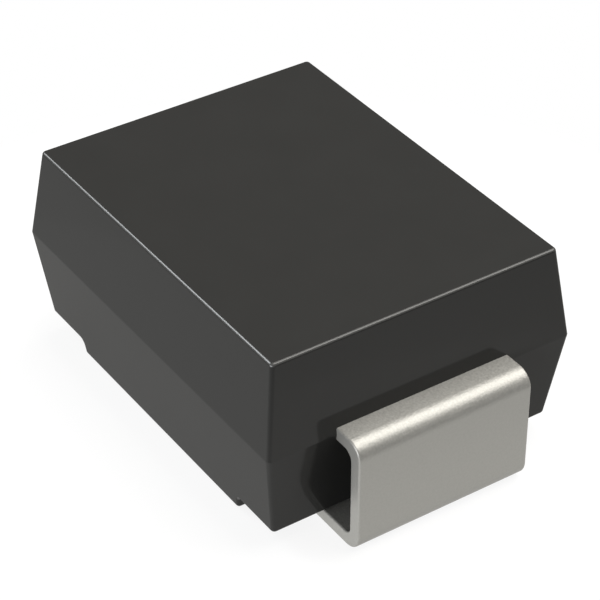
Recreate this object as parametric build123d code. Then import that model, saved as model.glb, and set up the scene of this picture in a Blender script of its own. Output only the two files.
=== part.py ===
from build123d import *
import os
from math import radians, tan

# Surface mount Schottky diode: a moulded body on two J-bent leads, with the chip,
# its strap and its solder layers inside.
# Millimetres, +Z up. Z = 0 is the board that the two lead feet stand on.
# X runs from the cathode end to the anode end, and Y across the width.

# Moulded body. Lengths and widths are at the parting line, heights from the board.
BODY_LENGTH = 4.50
BODY_WIDTH = 3.51
TOTAL_HEIGHT = 2.22
PARTING_HEIGHT = 1.22
STANDOFF = 0.05
MOULD_DRAFT = 7.3
CORNER_ROUND = 0.045
RIM_ROUND = 0.035
PEDESTAL_EDGE_ROUND = 0.04
PEDESTAL_ROOT_ROUND = 0.06

# Leads: one strip each, folded in a J outside the body
LEAD_WIDTH = 2.00
LEAD_THICKNESS = 0.145
LEAD_GAP = 0.225
SHOULDER_INSIDE_RADIUS = 0.105
SHOULDER_OUTSIDE_RADIUS = 0.175
HEEL_INSIDE_RADIUS = 0.085
HEEL_OUTSIDE_RADIUS = 0.195
FOOT_LENGTH = 1.00
FOOT_CLEARANCE = 0.065
FOOT_TIP_CLEARANCE = 0.12
LEAD_EDGE_ROUND = 0.02
LOCK_NOTCH_RADIUS = 0.15
LOCK_NOTCH_INSET = 0.40

# Cathode lead inside the body: a jog down to the pad that carries the chip
PAD_END_MARGIN = 0.20
PAD_SIDE_MARGIN = 0.40
PAD_DROP = 0.30
PAD_CORNER_ROUND = 0.15
JOG_RUN = 0.35
JOG_BEND_RADIUS = 0.05

# Anode lead inside the body: a level post, wider than the lead at its tip
ELECTRODE_GAP = 0.55
POST_LENGTH = 0.50
POST_EAR = 0.15

# Chip
CHIP_SIDE = 1.50
CHIP_THICKNESS = 0.25
CHIP_OFFSET = 0.35

# Strap from the top of the chip to the post
CLIP_WIDTH = 1.10
CLIP_THICKNESS = 0.15
CLIP_CONTACT_LENGTH = 0.90
CLIP_FOOT_LENGTH = 0.45
CLIP_FOOT_INSET = 0.15
CLIP_RISE = 0.12
CLIP_SLOPE_RUN = 0.18
CLIP_BEND_RADIUS = 0.05
CLIP_CORNER_ROUND = 0.12

# Solder layers, each wider at its underside than at its top
SOLDER_THICKNESS = 0.03
SOLDER_SPREAD = 0.03

# Places along X of what is outside the moulding
BODY_END_X = BODY_LENGTH / 2
LEAD_MIDDLE_X = BODY_END_X + LEAD_GAP + LEAD_THICKNESS / 2
FOOT_TIP_X = BODY_END_X + LEAD_GAP + LEAD_THICKNESS - FOOT_LENGTH
PEDESTAL_ROOT_X = FOOT_TIP_X - FOOT_TIP_CLEARANCE
END_UNDERSIDE_Z = LEAD_THICKNESS + FOOT_CLEARANCE

# Places along X of what is inside, from the cathode pad to the anode post
CHIP_X = -CHIP_OFFSET
PAD_LENGTH = CHIP_SIDE + 2 * PAD_END_MARGIN
PAD_WIDTH = CHIP_SIDE + 2 * PAD_SIDE_MARGIN
POST_WIDTH = LEAD_WIDTH + 2 * POST_EAR
POST_TIP_X = CHIP_X + PAD_LENGTH / 2 + ELECTRODE_GAP
POST_X = POST_TIP_X + POST_LENGTH / 2
CLIP_FOOT_START_X = POST_TIP_X + CLIP_FOOT_INSET
CLIP_FOOT_X = CLIP_FOOT_START_X + CLIP_FOOT_LENGTH / 2

# Undersides of the layers inside, from the cathode pad up
PAD_Z = PARTING_HEIGHT - PAD_DROP - LEAD_THICKNESS / 2
CHIP_SOLDER_Z = PAD_Z + LEAD_THICKNESS
CHIP_Z = CHIP_SOLDER_Z + SOLDER_THICKNESS
CONTACT_SOLDER_Z = CHIP_Z + CHIP_THICKNESS
CONTACT_Z = CONTACT_SOLDER_Z + SOLDER_THICKNESS
POST_Z = PARTING_HEIGHT - LEAD_THICKNESS / 2
CLIP_FOOT_SOLDER_Z = POST_Z + LEAD_THICKNESS
CLIP_FOOT_Z = CLIP_FOOT_SOLDER_Z + SOLDER_THICKNESS
BRIDGE_Z = max(CONTACT_Z, CLIP_FOOT_Z) + CLIP_RISE


def even_bend(inside_radius, thickness):
    """The inside and outside radius of a bend that is as thick as the strip all the way round."""
    return (inside_radius, inside_radius + thickness)


def folded_strip(points, bends, thickness, width):
    """A strip whose middle line runs through the (x, z) points.

    Each inner point is a bend, with an inside and an outside radius.
    """
    side_view = trace(Polyline(*points), line_width=thickness)
    ways = [(Vector(end) - Vector(start)).normalized() for start, end in zip(points, points[1:])]
    for point, way_in, way_out, bend in zip(points[1:], ways, ways[1:], bends):
        to_inside = (way_out - way_in).normalized() * (thickness / (way_in + way_out).length)
        for to_corner, radius in zip((to_inside, -to_inside), bend):
            corner = side_view.vertices().sort_by_distance(Vector(point) + to_corner)[0]
            side_view = fillet(corner, radius)
    return extrude(Plane.XZ * side_view, amount=width / 2, both=True)


def half_body(far_z):
    """One mould half from the parting line to far_z, drafted, with round upright corners."""
    outline = Pos(0, 0, PARTING_HEIGHT) * Rectangle(BODY_LENGTH, BODY_WIDTH)
    depth = far_z - PARTING_HEIGHT
    way = (0, 0, depth / abs(depth))
    block = extrude(outline, amount=abs(depth), dir=way, taper=MOULD_DRAFT)
    level_edges = block.faces().filter_by(Axis.Z).edges()
    corners = [edge for edge in block.edges() if edge not in level_edges]
    return fillet(corners, CORNER_ROUND)


def upper_half():
    """The upper mould half, with a small round along the rim of the top face."""
    half = half_body(TOTAL_HEIGHT)
    rim = half.faces().sort_by(Axis.Z)[-1].edges()
    return fillet(rim, RIM_ROUND)


def underside_prism():
    """The side view of the body's lower half, carried across more than its width.

    The pedestal stands between the feet. Its ends are drafted, round at the bottom edge
    and hollow where they meet the undersides above the feet.
    """
    past_end = BODY_LENGTH
    bottom_x = PEDESTAL_ROOT_X - (END_UNDERSIDE_Z - STANDOFF) * tan(radians(MOULD_DRAFT))
    outline = Polyline(
        (-past_end, PARTING_HEIGHT),
        (-past_end, END_UNDERSIDE_Z),
        (-PEDESTAL_ROOT_X, END_UNDERSIDE_Z),
        (-bottom_x, STANDOFF),
        (bottom_x, STANDOFF),
        (PEDESTAL_ROOT_X, END_UNDERSIDE_Z),
        (past_end, END_UNDERSIDE_Z),
        (past_end, PARTING_HEIGHT),
        close=True,
    )
    side_view = make_face(outline)
    root_corners = side_view.vertices().group_by(Axis.Y)[1].sort_by(Axis.X)[1:-1]
    side_view = fillet(root_corners, PEDESTAL_ROOT_ROUND)
    bottom_corners = side_view.vertices().group_by(Axis.Y)[0]
    side_view = fillet(bottom_corners, PEDESTAL_EDGE_ROUND)
    return extrude(Plane.XZ * side_view, amount=BODY_WIDTH, both=True)


def lower_half():
    """The lower mould half with its pedestal, and a small round all along its lower rim."""
    half = half_body(STANDOFF) & underside_prism()
    walls = half.faces().filter_by(lambda face: face.bounding_box().max.Z > END_UNDERSIDE_Z + RIM_ROUND)
    undersides = [face for face in half.faces() if face not in walls]
    wall_edges = walls.edges()
    rim = [edge for face in undersides for edge in face.edges() if edge in wall_edges]
    return fillet(rim, RIM_ROUND)


def moulded_body(enclosed):
    """The epoxy moulding, which fills all the space round the pieces that it encloses."""
    body = upper_half() + lower_half()
    for piece in enclosed:
        body -= piece
    return body


def j_lead(side, inner_points, inner_bends):
    """A lead strip with its J: the shoulder bend, the run down, the heel bend and the foot.

    Its long edges are round. A notch in each long edge just inside the wall locks it in
    the moulding.
    """
    foot_z = LEAD_THICKNESS / 2
    outer_points = [(LEAD_MIDDLE_X, PARTING_HEIGHT), (LEAD_MIDDLE_X, foot_z), (FOOT_TIP_X, foot_z)]
    points = [(side * x, z) for x, z in inner_points + outer_points]
    shoulder = (SHOULDER_INSIDE_RADIUS, SHOULDER_OUTSIDE_RADIUS)
    heel = (HEEL_INSIDE_RADIUS, HEEL_OUTSIDE_RADIUS)
    strip = folded_strip(points, inner_bends + [shoulder, heel], LEAD_THICKNESS, LEAD_WIDTH)
    side_edges = strip.faces().filter_by(Axis.Y).edges()
    end_edges = side_edges.filter_by(Axis.Z).group_by(SortBy.LENGTH)[0]
    long_edges = [edge for edge in side_edges if edge not in end_edges]
    strip = fillet(long_edges, LEAD_EDGE_ROUND)
    notch_x = side * (BODY_END_X - LOCK_NOTCH_INSET)
    for notch_y in (-LEAD_WIDTH / 2, LEAD_WIDTH / 2):
        notch = Cylinder(LOCK_NOTCH_RADIUS, 2 * LEAD_THICKNESS)
        strip -= Pos(notch_x, notch_y, PARTING_HEIGHT) * notch
    return strip


def rounded_plate(x, z, length, width):
    """A flat of lead sheet, centred on x with its underside at z, round at its corners."""
    outline = Pos(x, 0, z) * RectangleRounded(length, width, PAD_CORNER_ROUND)
    return extrude(outline, amount=LEAD_THICKNESS)


def cathode_lead():
    """The far lead, which jogs down inside the body to the pad under the chip."""
    pad_middle_z = PAD_Z + LEAD_THICKNESS / 2
    pad_edge = PAD_LENGTH / 2 - CHIP_X
    inner_points = [(-CHIP_X, pad_middle_z), (pad_edge, pad_middle_z), (pad_edge + JOG_RUN, PARTING_HEIGHT)]
    strip = j_lead(-1, inner_points, [even_bend(JOG_BEND_RADIUS, LEAD_THICKNESS)] * 2)
    return strip + rounded_plate(CHIP_X, PAD_Z, PAD_LENGTH, PAD_WIDTH)


def anode_lead():
    """The near lead, which ends inside the body in the level post under the strap's foot."""
    strip = j_lead(1, [(POST_X, PARTING_HEIGHT)], [])
    return strip + rounded_plate(POST_X, POST_Z, POST_LENGTH, POST_WIDTH)


def schottky_chip():
    """The silicon chip, sawn square from its wafer."""
    return Pos(CHIP_X, 0, CHIP_Z + CHIP_THICKNESS / 2) * Box(CHIP_SIDE, CHIP_SIDE, CHIP_THICKNESS)


def contact_clip():
    """The strap: a contact on the chip, a raised bridge clear of its edge, and a foot on the post."""
    contact_start = CHIP_X - CLIP_CONTACT_LENGTH / 2
    contact_end = CHIP_X + CLIP_CONTACT_LENGTH / 2
    contact_z = CONTACT_Z + CLIP_THICKNESS / 2
    bridge_z = BRIDGE_Z + CLIP_THICKNESS / 2
    foot_z = CLIP_FOOT_Z + CLIP_THICKNESS / 2
    points = [
        (contact_start, contact_z),
        (contact_end, contact_z),
        (contact_end + CLIP_SLOPE_RUN, bridge_z),
        (CLIP_FOOT_START_X - CLIP_SLOPE_RUN, bridge_z),
        (CLIP_FOOT_START_X, foot_z),
        (CLIP_FOOT_START_X + CLIP_FOOT_LENGTH, foot_z),
    ]
    bends = [even_bend(CLIP_BEND_RADIUS, CLIP_THICKNESS)] * 4
    strap = folded_strip(points, bends, CLIP_THICKNESS, CLIP_WIDTH)
    return fillet(strap.edges().filter_by(Axis.Z), CLIP_CORNER_ROUND)


def solder_layer(x, z, top_outline):
    """A thin layer under a piece, whose sides spread outward from the piece to what carries it."""
    layer = loft([
        Pos(x, 0, z) * offset(top_outline, SOLDER_SPREAD, kind=Kind.INTERSECTION),
        Pos(x, 0, z + SOLDER_THICKNESS) * top_outline,
    ])
    return layer


def all_pieces():
    """Every piece by its name, the moulding last because it closes round the others."""
    chip_outline = Rectangle(CHIP_SIDE, CHIP_SIDE)
    contact_outline = Rectangle(CLIP_CONTACT_LENGTH, CLIP_WIDTH)
    clip_foot_outline = Rectangle(CLIP_FOOT_LENGTH, CLIP_WIDTH)
    pieces = {
        "cathode_lead": cathode_lead(),
        "anode_lead": anode_lead(),
        "schottky_chip": schottky_chip(),
        "contact_clip": contact_clip(),
        "die_attach_solder": solder_layer(CHIP_X, CHIP_SOLDER_Z, chip_outline),
        "chip_top_solder": solder_layer(CHIP_X, CONTACT_SOLDER_Z, contact_outline),
        "clip_foot_solder": solder_layer(CLIP_FOOT_X, CLIP_FOOT_SOLDER_Z, clip_foot_outline),
    }
    pieces["moulded_body"] = moulded_body(pieces.values())
    return pieces


os.makedirs("parts", exist_ok=True)
for name, piece in all_pieces().items():
    export_step(piece, f"parts/{name}.step")
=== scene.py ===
"""A surface mount Schottky diode on a white floor: finishes, studio light and camera.

Metres throughout, in the part's own frame: +Z up, Z = 0 is the board that the lead feet
stand on, X runs from the cathode end to the anode end. MM and MICRON turn lengths into metres.
"""
import math

import bpy
import numpy as np
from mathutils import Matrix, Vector


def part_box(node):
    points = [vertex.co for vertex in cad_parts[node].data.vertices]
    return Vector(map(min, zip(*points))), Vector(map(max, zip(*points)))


METRE = 1.0
MM = 0.001
MICRON = 0.000001

# Camera: where it stands, and how its lens frames the part in a square picture.
# Angles are in degrees, the focal length and the optical centre in pixels of that picture,
# and the sensor in millimetres, as the lens is.
CAMERA_PLACE = (15.673 * MM, -10.430 * MM, 14.827 * MM)
CAMERA_AZIMUTH = 56.156
CAMERA_ELEVATION = 36.370
CAMERA_NEAREST = 1.0 * MM
CAMERA_FURTHEST = 1.0 * METRE
SENSOR_SIDE = 36.0
PICTURE_SIDE = 600
PICTURE_MIDDLE = PICTURE_SIDE / 2
FOCAL_PIXELS = 2307.1
OPTICAL_CENTRE = (298.14, 301.34)

# Room: the radiance of its light, which fades from the pale side to the opposite one,
# where a direction's dot product with the pale side's is OPPOSITE. The camera sees the
# room white. Gloss sees it white below a soft horizon, whose two ends are given as the Z
# of the direction looked in.
ROOM_PALE_SIDE = (-0.90, -0.35, 0.25)
ROOM_DIM = 0.08
ROOM_PALE = 0.23
OPPOSITE = -1.0
ROOM_TINT = (1.0, 0.992, 0.962)
HORIZON_TOP = -0.25
HORIZON_FOOT = -0.41
WHITE_RADIANCE = 1.0
PURE_WHITE = (1.0, 1.0, 1.0)

# Floor: a small round one, whose own glow lifts it to white where nothing shades it
FLOOR_RADIUS = 5.6 * MM
FLOOR_SIDES = 96
FLOOR_SHADE = (0.14, 0.14, 0.14)
FLOOR_LIFT = 0.875

# Soft boxes: which way each one lies from the part, its two sides, and the radiance seen
LAMP_DISTANCE = 0.40 * METRE
OVERHEAD_TOWARDS = (0.07, 0.45, 0.89)
OVERHEAD_SIZE = (0.40 * METRE, 0.40 * METRE)
OVERHEAD_RADIANCE = 4.85
OVERHEAD_TINT = (1.0, 0.98, 0.94)
LEFT_TOWARDS = (-0.67, -0.42, 0.61)
LEFT_SIZE = (0.165 * METRE, 0.165 * METRE)
LEFT_RADIANCE = 8.4
LEFT_TINT = (0.94, 0.97, 1.0)
NEAR_TOWARDS = (0.22, -0.95, 0.175)
NEAR_SIZE = (0.44 * METRE, 0.15 * METRE)
NEAR_RADIANCE = 6.6
NEAR_TINT = (0.95, 0.97, 1.0)

# Noise: how many finer layers each kind has, and the value that it varies about
GRAIN_DETAIL = 2.0
CLOUD_DETAIL = 3.0
LINE_DETAIL = 2.0
NOISE_MEAN = 0.5

# Rims: the strongest of the normal's X, Y and Z on a flat face and on a round edge, and
# its Z on an upright and on a leaning one. The leaning rims get a painted highlight in the
# epoxy's colour. Upright corners get none and stay as matt as the walls.
RIM_FLAT = 0.97
RIM_ROUND = 0.85
RIM_UPRIGHT = 0.20
RIM_LEANING = 0.40

# Moulding compound: black epoxy filled with silica, and the smooth skin that it cures with
EPOXY_DARK = (0.0253, 0.0251, 0.0240)
EPOXY_LIGHT = (0.0287, 0.0284, 0.0272)
# The rims' colour is lighter than the walls': a painted highlight along the top and bottom rims
EPOXY_RIM_PAINTED_HIGHLIGHT = (0.070, 0.070, 0.068)
EPOXY_GRAIN = 26 * MICRON
EPOXY_CLOUD = 0.55 * MM
EPOXY_DEPTH = 0.5 * MICRON
EPOXY_ROUGHNESS = (0.44, 0.50)
EPOXY_RIM_ROUGHNESS = 0.30
EPOXY_IOR = 1.45
EPOXY_SPECULAR = 0.034
SKIN_ON_WALLS = 0.130
SKIN_ON_RIMS = 0.28
SKIN_IOR = 2.2
SKIN_ROUGHNESS = 0.10
PARTING_SOFT = 20 * MICRON
MOULD_DRAFT = 7.3

# Lead strip: its thickness, the foot's length and the height that the foot stays under,
# how deep in the moulding the plating ends, and how far the bare tip of the foot reaches
STRIP_THICKNESS = 0.145 * MM
FOOT_LENGTH = 1.00 * MM
FOOT_TOP = 0.30 * MM
BARE_BEHIND_WALL = 0.06 * MM
BARE_AT_TIP = 2.5 * MICRON

# Tin plate: its speckle is stronger on level faces than on upright ones, by the
# normal's Z, which is given where a face counts as the one and as the other
TIN_DARK = (0.346, 0.340, 0.318)
TIN_LIGHT = (0.482, 0.474, 0.445)
TIN_METALLIC = 0.45
TIN_GRAIN = 24 * MICRON
TIN_DEPTH = 2.4 * MICRON
TIN_ROUGHNESS = (0.34, 0.52)
UPRIGHT_SPECKLE = 0.6
LEVEL_SPECKLE = 2.0
UPRIGHT_FACING = 0.2
LEVEL_FACING = 0.9

# Rolled copper, bare inside the moulding: rolling lines, tarnish and sheared edges
COPPER_DARK = (0.50, 0.24, 0.14)
COPPER_LIGHT = (0.66, 0.34, 0.21)
COPPER_TARNISH = (0.30, 0.13, 0.08)
COPPER_SHEARED = (0.74, 0.42, 0.28)
COPPER_CLOUD = 0.35 * MM
COPPER_METALLIC = 0.90
COPPER_ROUGHNESS = (0.24, 0.40)
TARNISH_FROM = 0.55
TARNISH_FULL = 0.75
TARNISH_MOST = 0.60
SHEARED_FACING = 0.9
ROLLING_GAP = 9 * MICRON
ROLLING_LENGTH = 0.9 * MM
ROLLING_DEPTH = 0.35 * MICRON

# Silicon chip: metal on its faces inside a glassy border, sides left by the saw
CHIP_METAL_DARK = (0.52, 0.51, 0.49)
CHIP_METAL_LIGHT = (0.66, 0.65, 0.62)
CHIP_METAL_FADE = 8 * MICRON
CHIP_METALLIC = 0.9
CHIP_GLASS = (0.030, 0.045, 0.085)
CHIP_GLASS_WIDTH = 0.09 * MM
CHIP_GLASS_ROUGHNESS = 0.12
CHIP_METAL_ROUGHNESS = 0.34
CHIP_GRAIN = 7 * MICRON
CHIP_CLOUD = 0.25 * MM
CHIP_DEPTH = 0.15 * MICRON
CHIP_FACING = 0.70
SAWN_DARK = (0.070, 0.072, 0.080)
SAWN_LIGHT = (0.150, 0.152, 0.165)
SAWN_ROUGHNESS = (0.35, 0.60)
SAW_GAP = 6 * MICRON
SAW_LENGTH = 0.5 * MM
SAW_DEPTH = 0.8 * MICRON

# Solder, dull after reflow: slow ripples, and a fine grain that is a share of their height
SOLDER_DARK = (0.30, 0.30, 0.31)
SOLDER_LIGHT = (0.44, 0.44, 0.45)
SOLDER_METALLIC = 0.85
SOLDER_GRAIN = 11 * MICRON
SOLDER_GRAIN_SHARE = 0.25
SOLDER_RIPPLE = 90 * MICRON
SOLDER_DEPTH = 1.5 * MICRON
SOLDER_ROUGHNESS = (0.34, 0.52)

# The Mix node's sockets, by what it mixes: its first end, its second end and its result
MIX_SOCKETS = {"FLOAT": (2, 3, 0), "VECTOR": (4, 5, 1), "RGBA": (6, 7, 2)}


def place_camera():
    """A long lens at the photograph's place and angle."""
    lens = bpy.data.cameras.new("camera")
    lens.sensor_width = SENSOR_SIDE
    lens.lens = FOCAL_PIXELS / PICTURE_SIDE * SENSOR_SIDE
    lens.shift_x = (PICTURE_MIDDLE - OPTICAL_CENTRE[0]) / PICTURE_SIDE
    lens.shift_y = (OPTICAL_CENTRE[1] - PICTURE_MIDDLE) / PICTURE_SIDE
    lens.clip_start = CAMERA_NEAREST
    lens.clip_end = CAMERA_FURTHEST
    camera = bpy.data.objects.new("camera", lens)
    camera.location = CAMERA_PLACE
    camera.rotation_euler = (
        math.radians(90 - CAMERA_ELEVATION),
        0,
        math.radians(CAMERA_AZIMUTH),
    )
    bpy.context.scene.collection.objects.link(camera)
    bpy.context.scene.camera = camera


def soft_box(name, towards, size, radiance, tint):
    """A rectangular lamp far from the part in the given direction, facing it.

    Its power is worked out from the radiance that the part sees: a lamp of W watts and
    area A has the radiance W / (pi A).
    """
    lamp = bpy.data.lights.new(name, "AREA")
    lamp.shape = "RECTANGLE"
    lamp.size, lamp.size_y = size
    lamp.energy = radiance * math.pi * size[0] * size[1]
    lamp.color = tint
    box = bpy.data.objects.new(name, lamp)
    direction = Vector(towards).normalized()
    box.location = direction * LAMP_DISTANCE
    box.rotation_euler = direction.to_track_quat("Z", "Y").to_euler()
    bpy.context.scene.collection.objects.link(box)


def node(tree, kind, inputs=None, **settings):
    """A new node with its settings; each input is a plain value or the socket that feeds it."""
    made = tree.nodes.new(kind)
    for key, value in settings.items():
        setattr(made, key, value)
    for key, value in (inputs or {}).items():
        if isinstance(value, bpy.types.NodeSocket):
            tree.links.new(value, made.inputs[key])
        else:
            made.inputs[key].default_value = value
    return made


def math_node(tree, operation, first, second=0.0, third=0.0):
    """One Math node's result."""
    made = node(tree, "ShaderNodeMath", {0: first, 1: second, 2: third}, operation=operation)
    return made.outputs["Value"]


def ramp(tree, value, **ends):
    """A value carried from one range to another: From_Min, From_Max, To_Min and To_Max."""
    inputs = {title.replace("_", " "): end for title, end in ends.items()}
    return node(tree, "ShaderNodeMapRange", {"Value": value, **inputs}).outputs["Result"]


def smooth_step(tree, value, start, end):
    """0 at the start and 1 at the end, easing in and out between them."""
    made = node(
        tree,
        "ShaderNodeMapRange",
        {"Value": value, "From Min": start, "From Max": end},
        interpolation_type="SMOOTHSTEP",
    )
    return made.outputs["Result"]


def mix(tree, kind, factor, first, second):
    """Numbers (FLOAT), directions (VECTOR) or colours (RGBA) mixed by a factor from 0 to 1."""
    first_end, second_end, result = MIX_SOCKETS[kind]
    ends = {0: factor, first_end: first, second_end: second}
    return node(tree, "ShaderNodeMix", ends, data_type=kind).outputs[result]


def mixed(tree, factor, first, second):
    """A colour between two, each written as three numbers or fed by a socket."""
    ends = [c if isinstance(c, bpy.types.NodeSocket) else (*c, 1) for c in (first, second)]
    return mix(tree, "RGBA", factor, *ends)


def between(tree, factor, low, high):
    """A number between two, by a factor from 0 to 1."""
    return ramp(tree, factor, To_Min=low, To_Max=high)


def seen_white(tree):
    """Two masks: the camera's own rays, and those that show the background in a gloss or glass."""
    path = node(tree, "ShaderNodeLightPath")
    gloss = math_node(
        tree, "ADD", path.outputs["Is Glossy Ray"], path.outputs["Is Transmission Ray"]
    )
    return path.outputs["Is Camera Ray"], gloss


def light_the_room():
    """A pale room, dimmer on the right, a little warm in all but the camera's own view."""
    world = bpy.data.worlds.new("room")
    bpy.context.scene.world = world
    world.use_nodes = True
    tree = world.node_tree
    camera, gloss = seen_white(tree)
    way = node(tree, "ShaderNodeTexCoord").outputs["Generated"]
    height = node(tree, "ShaderNodeSeparateXYZ", {0: way}).outputs["Z"]
    below = ramp(tree, height, From_Min=HORIZON_TOP, From_Max=HORIZON_FOOT)
    shown = math_node(tree, "MAXIMUM", camera, math_node(tree, "MULTIPLY", gloss, below))
    pale_side = node(
        tree,
        "ShaderNodeVectorMath",
        {0: way, 1: Vector(ROOM_PALE_SIDE).normalized()},
        operation="DOT_PRODUCT",
    ).outputs["Value"]
    room = ramp(tree, pale_side, From_Min=OPPOSITE, To_Min=ROOM_DIM, To_Max=ROOM_PALE)
    backdrop = tree.nodes["Background"]
    tree.links.new(mixed(tree, camera, ROOM_TINT, PURE_WHITE), backdrop.inputs["Color"])
    tree.links.new(between(tree, shown, room, WHITE_RADIANCE), backdrop.inputs["Strength"])


def lay_floor():
    """A round pale floor, lifted to white where nothing shades it, that keeps the shadow."""
    turns = np.linspace(0, 2 * np.pi, FLOOR_SIDES, endpoint=False)
    points = np.stack([np.cos(turns), np.sin(turns), 0 * turns], 1) * FLOOR_RADIUS
    mesh = bpy.data.meshes.new("floor")
    mesh.from_pydata(points.tolist(), [], [list(range(len(points)))])
    floor = bpy.data.objects.new("floor", mesh)
    bpy.context.scene.collection.objects.link(floor)
    material = bpy.data.materials.new("pale_floor")
    material.use_nodes = True
    tree = material.node_tree
    tree.nodes.clear()
    camera, gloss = seen_white(tree)
    lift = math_node(tree, "MULTIPLY", math_node(tree, "MAXIMUM", camera, gloss), FLOOR_LIFT)
    tint = mixed(tree, camera, ROOM_TINT, PURE_WHITE)
    matt = node(tree, "ShaderNodeBsdfDiffuse", {"Color": (*FLOOR_SHADE, 1)})
    glow = node(tree, "ShaderNodeEmission", {"Color": tint, "Strength": lift})
    both = node(tree, "ShaderNodeAddShader", {0: matt.outputs[0], 1: glow.outputs[0]})
    node(tree, "ShaderNodeOutputMaterial", {"Surface": both.outputs[0]})
    mesh.materials.append(material)


def new_group(name, inputs, outputs):
    """An empty shader group with its named sockets, and its two end nodes."""
    group = bpy.data.node_groups.new(name, "ShaderNodeTree")
    for title, kind in inputs:
        group.interface.new_socket(title, in_out="INPUT", socket_type=kind)
    for title, kind in outputs:
        group.interface.new_socket(title, in_out="OUTPUT", socket_type=kind)
    return group, group.nodes.new("NodeGroupInput"), group.nodes.new("NodeGroupOutput")


def make_grain_group():
    """Grain: a noise whose lumps have the given size, with finer layers by the given detail."""
    group, given, out = new_group(
        "grain",
        [
            ("Place", "NodeSocketVector"),
            ("Size", "NodeSocketFloat"),
            ("Detail", "NodeSocketFloat"),
        ],
        [("Height", "NodeSocketFloat")],
    )
    scale = math_node(group, "DIVIDE", 1.0, given.outputs["Size"])
    noise = node(
        group,
        "ShaderNodeTexNoise",
        {"Vector": given.outputs["Place"], "Scale": scale, "Detail": given.outputs["Detail"]},
    )
    group.links.new(noise.outputs[0], out.inputs["Height"])
    return group


def make_drawn_lines_group():
    """Drawn lines, as rolls or a saw leave: they run along X and Z and follow one another in Y."""
    group, given, out = new_group(
        "drawn_lines",
        [
            ("Place", "NodeSocketVector"),
            ("Line Gap", "NodeSocketFloat"),
            ("Line Length", "NodeSocketFloat"),
        ],
        [("Height", "NodeSocketFloat")],
    )
    parts = node(group, "ShaderNodeSeparateXYZ", {0: given.outputs["Place"]})
    drawn = {
        way: math_node(group, "DIVIDE", parts.outputs[way], given.outputs[size])
        for way, size in (("X", "Line Length"), ("Y", "Line Gap"), ("Z", "Line Length"))
    }
    place = node(group, "ShaderNodeCombineXYZ", drawn).outputs[0]
    noise = node(
        group, "ShaderNodeTexNoise", {"Vector": place, "Scale": 1.0, "Detail": LINE_DETAIL}
    )
    group.links.new(noise.outputs[0], out.inputs["Height"])
    return group


def make_rounded_edge_group():
    """Rounded edge: 1 on rims, where the surface leans between upright and level, else 0."""
    group, given, out = new_group(
        "rounded_edge",
        [
            ("Flat", "NodeSocketFloat"),
            ("Round", "NodeSocketFloat"),
            ("Upright", "NodeSocketFloat"),
            ("Leaning", "NodeSocketFloat"),
        ],
        [("Mask", "NodeSocketFloat")],
    )
    normal = node(group, "ShaderNodeTexCoord").outputs["Normal"]
    size = node(group, "ShaderNodeVectorMath", {0: normal}, operation="ABSOLUTE").outputs[0]
    parts = node(group, "ShaderNodeSeparateXYZ", {0: size}).outputs
    most = math_node(group, "MAXIMUM", parts["X"], parts["Y"])
    most = math_node(group, "MAXIMUM", most, parts["Z"])
    turned = smooth_step(group, most, given.outputs["Flat"], given.outputs["Round"])
    leaning = ramp(
        group, parts["Z"], From_Min=given.outputs["Upright"], From_Max=given.outputs["Leaning"]
    )
    rim = math_node(group, "MULTIPLY", turned, leaning)
    group.links.new(rim, out.inputs["Mask"])
    return group


def grouped(tree, group, output, inputs):
    """One output of a group that is placed in a material with its own values."""
    return node(tree, "ShaderNodeGroup", inputs, node_tree=group).outputs[output]


def fine_grain(tree, place, size):
    """A fine speckle of the given size, from 0 to 1."""
    return grouped(
        tree, GRAIN, "Height", {"Place": place, "Size": size, "Detail": GRAIN_DETAIL}
    )


def slow_cloud(tree, place, size):
    """Slow patches of the given size, from 0 to 1."""
    return grouped(
        tree, GRAIN, "Height", {"Place": place, "Size": size, "Detail": CLOUD_DETAIL}
    )


def drawn_lines(tree, place, gap, length):
    """Lines a gap apart that fade along the given length, from 0 to 1."""
    return grouped(
        tree, DRAWN_LINES, "Height", {"Place": place, "Line Gap": gap, "Line Length": length}
    )


def bumped(tree, height, depth=METRE):
    """The normal over a height, given in metres or as a share of the depth."""
    return node(tree, "ShaderNodeBump", {"Height": height, "Distance": depth}).outputs[0]


def rounded_edge(tree):
    """1 on the piece's rims, else 0."""
    inputs = {
        "Flat": RIM_FLAT,
        "Round": RIM_ROUND,
        "Upright": RIM_UPRIGHT,
        "Leaning": RIM_LEANING,
    }
    return grouped(tree, ROUNDED_EDGE, "Mask", inputs)


def object_place(tree):
    """Where a point of the piece is, in metres, and its X, Y and Z."""
    place = node(tree, "ShaderNodeTexCoord").outputs["Object"]
    return place, node(tree, "ShaderNodeSeparateXYZ", {0: place}).outputs


def facing(tree, way):
    """How far the surface faces along the way named, or against it, from 0 to 1."""
    normal = node(tree, "ShaderNodeTexCoord").outputs["Normal"]
    parts = node(tree, "ShaderNodeSeparateXYZ", {0: normal}).outputs
    return math_node(tree, "ABSOLUTE", parts[way])


def new_finish(name):
    """A material, its node tree and its shader."""
    material = bpy.data.materials.new(name)
    material.use_nodes = True
    tree = material.node_tree
    return material, tree, tree.nodes["Principled BSDF"]


def feed(tree, shader, **sockets):
    """Sockets wired to the shader, by its own socket names with _ for a space."""
    for title, socket in sockets.items():
        tree.links.new(socket, shader.inputs[title.replace("_", " ")])


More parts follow.
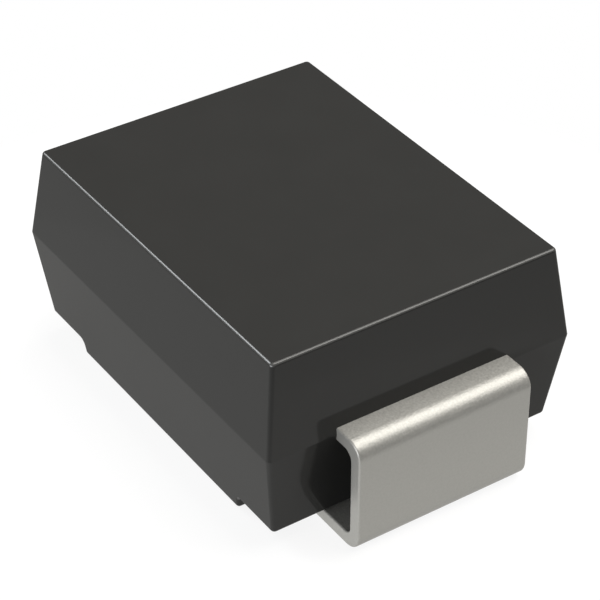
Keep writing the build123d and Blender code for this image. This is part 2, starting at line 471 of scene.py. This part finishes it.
def softened_parting(tree, height):
    """How far the parting ridge is filled out beside its edge, in metres, by the height there.

    With d the distance from the edge, up to the softened width w, and s the slope of the
    walls, the filling is s (d - d d / 2 w): the walls then meet in a round with no edge.
    The strips leave the body along this edge, so it is half a strip below their tops.
    """
    parting_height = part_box("anode_lead")[1][2] - STRIP_THICKNESS / 2
    off = math_node(tree, "ABSOLUTE", math_node(tree, "SUBTRACT", height, parting_height))
    near = math_node(tree, "MINIMUM", off, PARTING_SOFT)
    lost = math_node(tree, "MULTIPLY", near, near)
    lost = math_node(tree, "MULTIPLY", lost, 1 / (2 * PARTING_SOFT))
    slope = math.tan(math.radians(MOULD_DRAFT))
    return math_node(tree, "MULTIPLY", math_node(tree, "SUBTRACT", near, lost), slope)


def moulding_compound_finish():
    """Black epoxy: silica grain and slow cloud under a thin smooth skin, and rims painted lighter
    as a painted highlight, which are also smoother and carry more skin.
    """
    material, tree, shader = new_finish("moulding_compound_finish")
    place, parts = object_place(tree)
    grain = fine_grain(tree, place, EPOXY_GRAIN)
    cloud = slow_cloud(tree, place, EPOXY_CLOUD)
    rim = rounded_edge(tree)
    # The lighter colour on the rims is a painted highlight
    colour = mixed(tree, rim, mixed(tree, cloud, EPOXY_DARK, EPOXY_LIGHT), EPOXY_RIM_PAINTED_HIGHLIGHT)
    dull = between(tree, cloud, *EPOXY_ROUGHNESS)
    roughness = mix(tree, "FLOAT", rim, dull, EPOXY_RIM_ROUGHNESS)
    ridge = softened_parting(tree, parts["Z"])
    height = math_node(tree, "MULTIPLY_ADD", grain, EPOXY_DEPTH, ridge)
    skin = between(tree, rim, SKIN_ON_WALLS, SKIN_ON_RIMS)
    shader.inputs["IOR"].default_value = EPOXY_IOR
    shader.inputs["Specular IOR Level"].default_value = EPOXY_SPECULAR
    shader.inputs["Coat IOR"].default_value = SKIN_IOR
    shader.inputs["Coat Roughness"].default_value = SKIN_ROUGHNESS
    feed(tree, shader, Base_Color=colour, Roughness=roughness, Coat_Weight=skin)
    feed(tree, shader, Normal=bumped(tree, height))
    return material


def rolled_copper(tree, place):
    """The colour, roughness and height of rolled copper: fine lines under clouds of tarnish."""
    cloud = slow_cloud(tree, place, COPPER_CLOUD)
    lines = drawn_lines(tree, place, ROLLING_GAP, ROLLING_LENGTH)
    rolled = mixed(tree, lines, COPPER_DARK, COPPER_LIGHT)
    tarnish = ramp(
        tree, cloud, From_Min=TARNISH_FROM, From_Max=TARNISH_FULL, To_Max=TARNISH_MOST
    )
    colour = mixed(tree, tarnish, rolled, COPPER_TARNISH)
    roughness = between(tree, cloud, *COPPER_ROUGHNESS)
    return colour, roughness, math_node(tree, "MULTIPLY", lines, ROLLING_DEPTH)


def bare_copper_mask(tree, parts):
    """1 where a lead's copper is bare: inside the body, and on the trimmed tip of its foot."""
    wall_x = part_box("moulded_body")[1][0]
    tip_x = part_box("anode_lead")[1][0] - FOOT_LENGTH
    over_foot = math_node(tree, "GREATER_THAN", parts["Z"], FOOT_TOP)
    limit = between(tree, over_foot, tip_x + BARE_AT_TIP, wall_x - BARE_BEHIND_WALL)
    return math_node(tree, "LESS_THAN", math_node(tree, "ABSOLUTE", parts["X"]), limit)


def tin_plate_finish():
    """Matt tin over copper strip, left bare inside the body and on the trimmed foot tips.

    The plating's grain shows on the lying faces and the bends; the upright ones were
    smoothed by the bending tool.
    """
    material, tree, shader = new_finish("tin_plate_finish")
    place, parts = object_place(tree)
    grain = fine_grain(tree, place, TIN_GRAIN)
    strength = ramp(
        tree,
        facing(tree, "Z"),
        From_Min=UPRIGHT_FACING,
        From_Max=LEVEL_FACING,
        To_Min=UPRIGHT_SPECKLE,
        To_Max=LEVEL_SPECKLE,
    )
    off_mean = math_node(tree, "SUBTRACT", grain, NOISE_MEAN)
    speckle = math_node(tree, "MULTIPLY_ADD", off_mean, strength, NOISE_MEAN)
    tin = mixed(tree, speckle, TIN_DARK, TIN_LIGHT)
    tin_roughness = between(tree, grain, *TIN_ROUGHNESS)
    tin_height = math_node(tree, "MULTIPLY", grain, TIN_DEPTH)
    copper, copper_roughness, copper_height = rolled_copper(tree, place)
    bare = bare_copper_mask(tree, parts)
    colour = mixed(tree, bare, tin, copper)
    roughness = mix(tree, "FLOAT", bare, tin_roughness, copper_roughness)
    height = mix(tree, "FLOAT", bare, tin_height, copper_height)
    metallic = between(tree, bare, TIN_METALLIC, COPPER_METALLIC)
    feed(tree, shader, Base_Color=colour, Roughness=roughness, Metallic=metallic)
    feed(tree, shader, Normal=bumped(tree, height))
    return material


def rolled_copper_finish():
    """Copper strap: rolled copper all over, with brighter sheared edges."""
    material, tree, shader = new_finish("rolled_copper_finish")
    place, _ = object_place(tree)
    rolled, roughness, height = rolled_copper(tree, place)
    sheared = math_node(tree, "GREATER_THAN", facing(tree, "Y"), SHEARED_FACING)
    colour = mixed(tree, sheared, rolled, COPPER_SHEARED)
    shader.inputs["Metallic"].default_value = COPPER_METALLIC
    feed(tree, shader, Base_Color=colour, Roughness=roughness)
    feed(tree, shader, Normal=bumped(tree, height))
    return material


def chip_metal_mask(tree, parts):
    """1 on the square of metal in the middle of the chip's faces, 0 on the border round it."""
    low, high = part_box("schottky_chip")
    middle_x = (low[0] + high[0]) / 2
    metal_reach = (high[1] - low[1]) / 2 - CHIP_GLASS_WIDTH
    off_x = math_node(tree, "ABSOLUTE", math_node(tree, "SUBTRACT", parts["X"], middle_x))
    reach = math_node(tree, "MAXIMUM", off_x, math_node(tree, "ABSOLUTE", parts["Y"]))
    return smooth_step(tree, reach, metal_reach + CHIP_METAL_FADE, metal_reach)


def silicon_chip_finish():
    """Chip: soft silvery metal on its faces, a dark glassy border round it, sawn sides."""
    material, tree, shader = new_finish("silicon_chip_finish")
    place, parts = object_place(tree)
    grain = fine_grain(tree, place, CHIP_GRAIN)
    cloud = slow_cloud(tree, place, CHIP_CLOUD)
    along_saw = node(
        tree, "ShaderNodeCombineXYZ", {"X": parts["X"], "Y": parts["Z"], "Z": parts["Y"]}
    ).outputs[0]
    saw = drawn_lines(tree, along_saw, SAW_GAP, SAW_LENGTH)
    metal = chip_metal_mask(tree, parts)
    face = math_node(tree, "GREATER_THAN", facing(tree, "Z"), CHIP_FACING)
    silver = mixed(tree, cloud, CHIP_METAL_DARK, CHIP_METAL_LIGHT)
    sawn = mixed(tree, saw, SAWN_DARK, SAWN_LIGHT)
    colour = mixed(tree, face, sawn, mixed(tree, metal, CHIP_GLASS, silver))
    metallic = math_node(tree, "MULTIPLY", math_node(tree, "MULTIPLY", metal, face), CHIP_METALLIC)
    side_roughness = between(tree, saw, *SAWN_ROUGHNESS)
    face_roughness = between(tree, metal, CHIP_GLASS_ROUGHNESS, CHIP_METAL_ROUGHNESS)
    roughness = mix(tree, "FLOAT", face, side_roughness, face_roughness)
    scratched = bumped(tree, saw, SAW_DEPTH)
    normal = mix(tree, "VECTOR", face, scratched, bumped(tree, grain, CHIP_DEPTH))
    feed(tree, shader, Base_Color=colour, Roughness=roughness, Metallic=metallic, Normal=normal)
    return material


def solder_finish():
    """Solder: dull grey, finely grained, with the slow ripples it froze in."""
    material, tree, shader = new_finish("solder_finish")
    place, _ = object_place(tree)
    grain = fine_grain(tree, place, SOLDER_GRAIN)
    ripple = slow_cloud(tree, place, SOLDER_RIPPLE)
    colour = mixed(tree, ripple, SOLDER_DARK, SOLDER_LIGHT)
    roughness = between(tree, grain, *SOLDER_ROUGHNESS)
    height = math_node(tree, "MULTIPLY_ADD", grain, SOLDER_GRAIN_SHARE, ripple)
    shader.inputs["Metallic"].default_value = SOLDER_METALLIC
    feed(tree, shader, Base_Color=colour, Roughness=roughness)
    feed(tree, shader, Normal=bumped(tree, height, SOLDER_DEPTH))
    return material


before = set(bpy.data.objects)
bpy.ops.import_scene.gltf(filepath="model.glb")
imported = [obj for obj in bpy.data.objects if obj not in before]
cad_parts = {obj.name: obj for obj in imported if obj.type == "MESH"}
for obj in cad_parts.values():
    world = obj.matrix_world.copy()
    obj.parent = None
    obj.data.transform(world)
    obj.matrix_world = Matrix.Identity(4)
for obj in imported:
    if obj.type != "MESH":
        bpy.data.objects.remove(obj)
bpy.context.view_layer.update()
place_camera()
light_the_room()
lay_floor()
soft_box("overhead", OVERHEAD_TOWARDS, OVERHEAD_SIZE, OVERHEAD_RADIANCE, OVERHEAD_TINT)
soft_box("left", LEFT_TOWARDS, LEFT_SIZE, LEFT_RADIANCE, LEFT_TINT)
soft_box("near", NEAR_TOWARDS, NEAR_SIZE, NEAR_RADIANCE, NEAR_TINT)

GRAIN = make_grain_group()
DRAWN_LINES = make_drawn_lines_group()
ROUNDED_EDGE = make_rounded_edge_group()
FINISHES = (
    (moulding_compound_finish(), ("moulded_body",)),
    (tin_plate_finish(), ("anode_lead", "cathode_lead")),
    (silicon_chip_finish(), ("schottky_chip",)),
    (rolled_copper_finish(), ("contact_clip",)),
    (solder_finish(), ("die_attach_solder", "chip_top_solder", "clip_foot_solder")),
)
for material, pieces in FINISHES:
    for piece in pieces:
        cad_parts[piece].material_slots[0].material = material

bpy.context.scene.view_settings.view_transform = "Standard"
